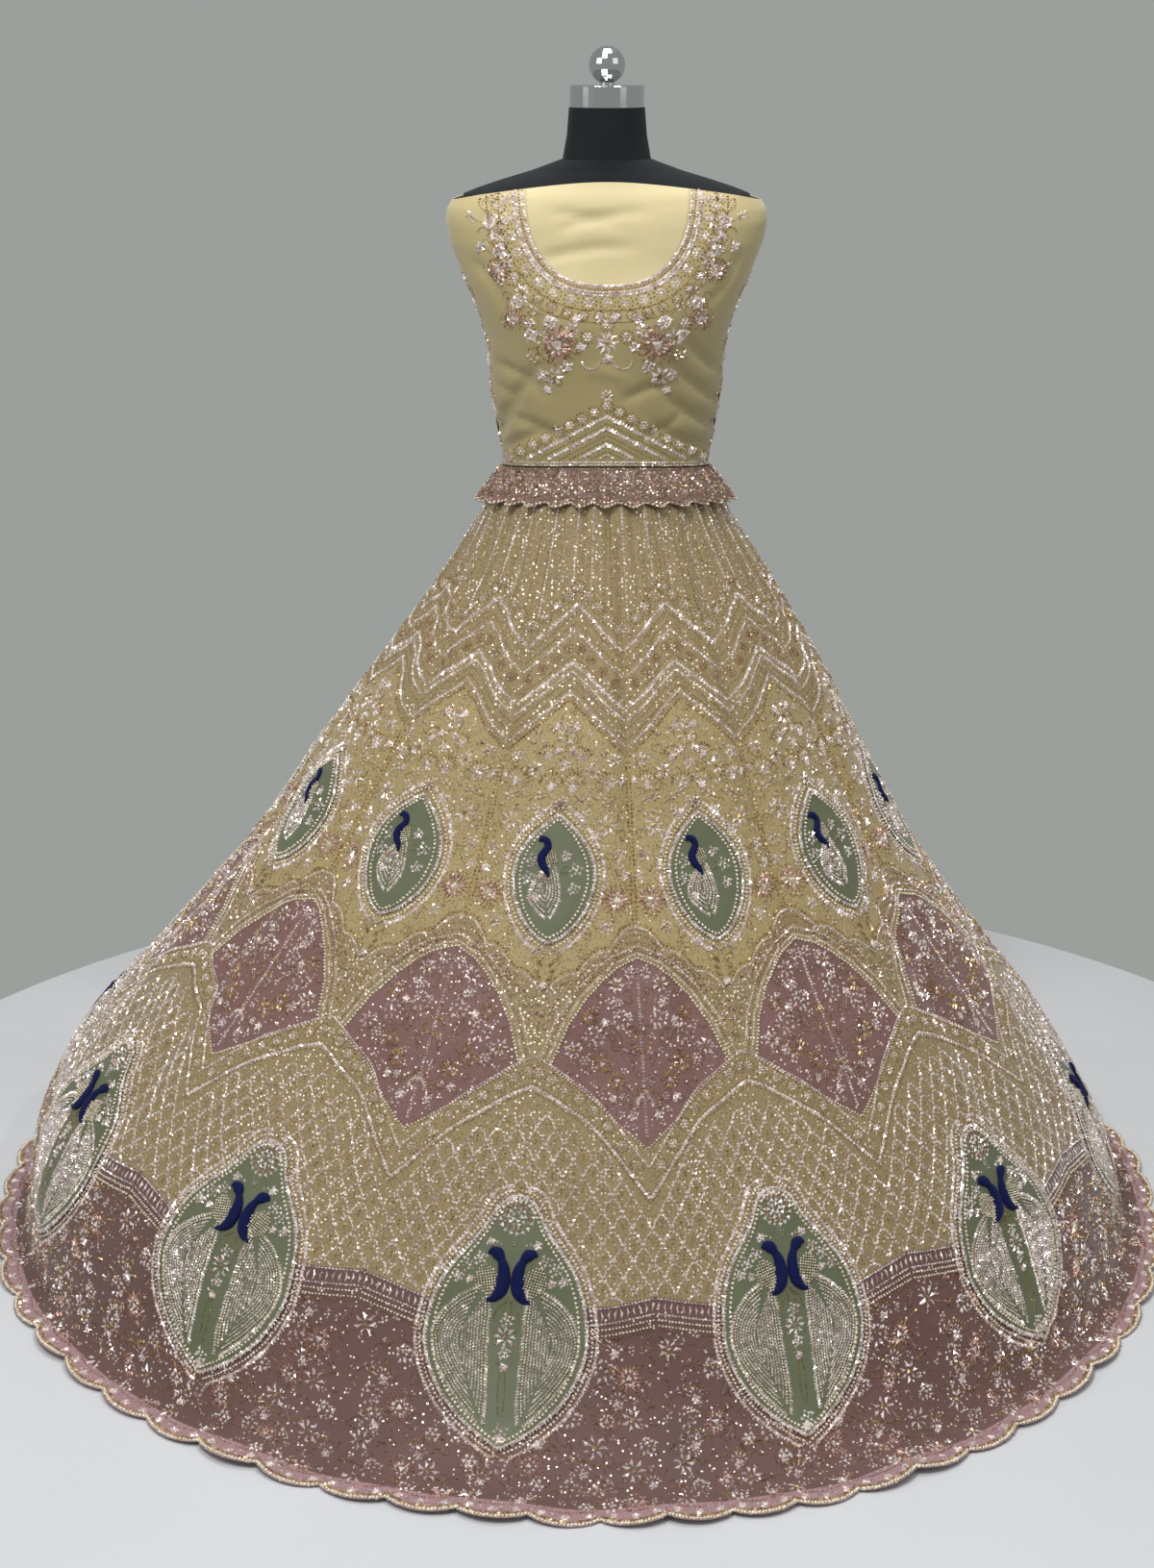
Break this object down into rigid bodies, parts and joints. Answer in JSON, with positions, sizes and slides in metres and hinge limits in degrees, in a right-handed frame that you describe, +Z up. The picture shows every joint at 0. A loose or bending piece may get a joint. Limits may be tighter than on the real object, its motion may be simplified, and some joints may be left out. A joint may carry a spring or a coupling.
{
  "type": "lehenga choli on a limbless dress form",
  "caption": "Flared floor-length lehenga skirt with a scalloped hem and frilled waist, and a wrapped choli, worn by a limbless dress form on a round stand.",
  "frame": {"origin": "centre of the stand base's underside, on the floor", "axes": "+Z up along the pole, -Y the front of the garment, +X to the viewer's right"},
  "size_m": [1.5217, 1.463, 1.445],
  "materials": {
    "cream_cloth": "embroidered net over satin lining",
    "pink_cloth": "embroidered dusty pink net",
    "green_cloth": "leaf-shaped patch with beadwork",
    "beadwork": "sequins and beads in rose gold",
    "black_cover": "matte stretch cover",
    "chrome": "polished",
    "stand_paint": "satin powder coat"
  },
  "bodies": {
    "root": {"form_torso": "black_cover", "neck_cap": "chrome", "cap_ball": "chrome", "stand_pole": "chrome", "stand_base": "stand_paint", "choli_front": "cream_cloth", "choli_back": "cream_cloth", "skirt_waistband": "cream_cloth", "waist_frill": "beadwork", "kali_01": "cream_cloth", "border_01": "pink_cloth", "small_patch_01": "green_cloth", "large_patch_01": "green_cloth", "kali_02": "cream_cloth", "border_02": "pink_cloth", "small_patch_02": "green_cloth", "large_patch_02": "green_cloth", "kali_03": "cream_cloth", "border_03": "pink_cloth", "small_patch_03": "green_cloth", "large_patch_03": "green_cloth", "kali_04": "cream_cloth", "border_04": "pink_cloth", "small_patch_04": "green_cloth", "large_patch_04": "green_cloth", "kali_05": "cream_cloth", "border_05": "pink_cloth", "small_patch_05": "green_cloth", "large_patch_05": "green_cloth", "kali_06": "cream_cloth", "border_06": "pink_cloth", "small_patch_06": "green_cloth", "large_patch_06": "green_cloth", "kali_07": "cream_cloth", "border_07": "pink_cloth", "small_patch_07": "green_cloth", "large_patch_07": "green_cloth", "kali_08": "cream_cloth", "border_08": "pink_cloth", "small_patch_08": "green_cloth", "large_patch_08": "green_cloth", "kali_09": "cream_cloth", "border_09": "pink_cloth", "small_patch_09": "green_cloth", "large_patch_09": "green_cloth", "kali_10": "cream_cloth", "border_10": "pink_cloth", "small_patch_10": "green_cloth", "large_patch_10": "green_cloth", "kali_11": "cream_cloth", "border_11": "pink_cloth", "small_patch_11": "green_cloth", "large_patch_11": "green_cloth", "kali_12": "cream_cloth", "border_12": "pink_cloth", "small_patch_12": "green_cloth", "large_patch_12": "green_cloth"}
  },
  "joints": []
}
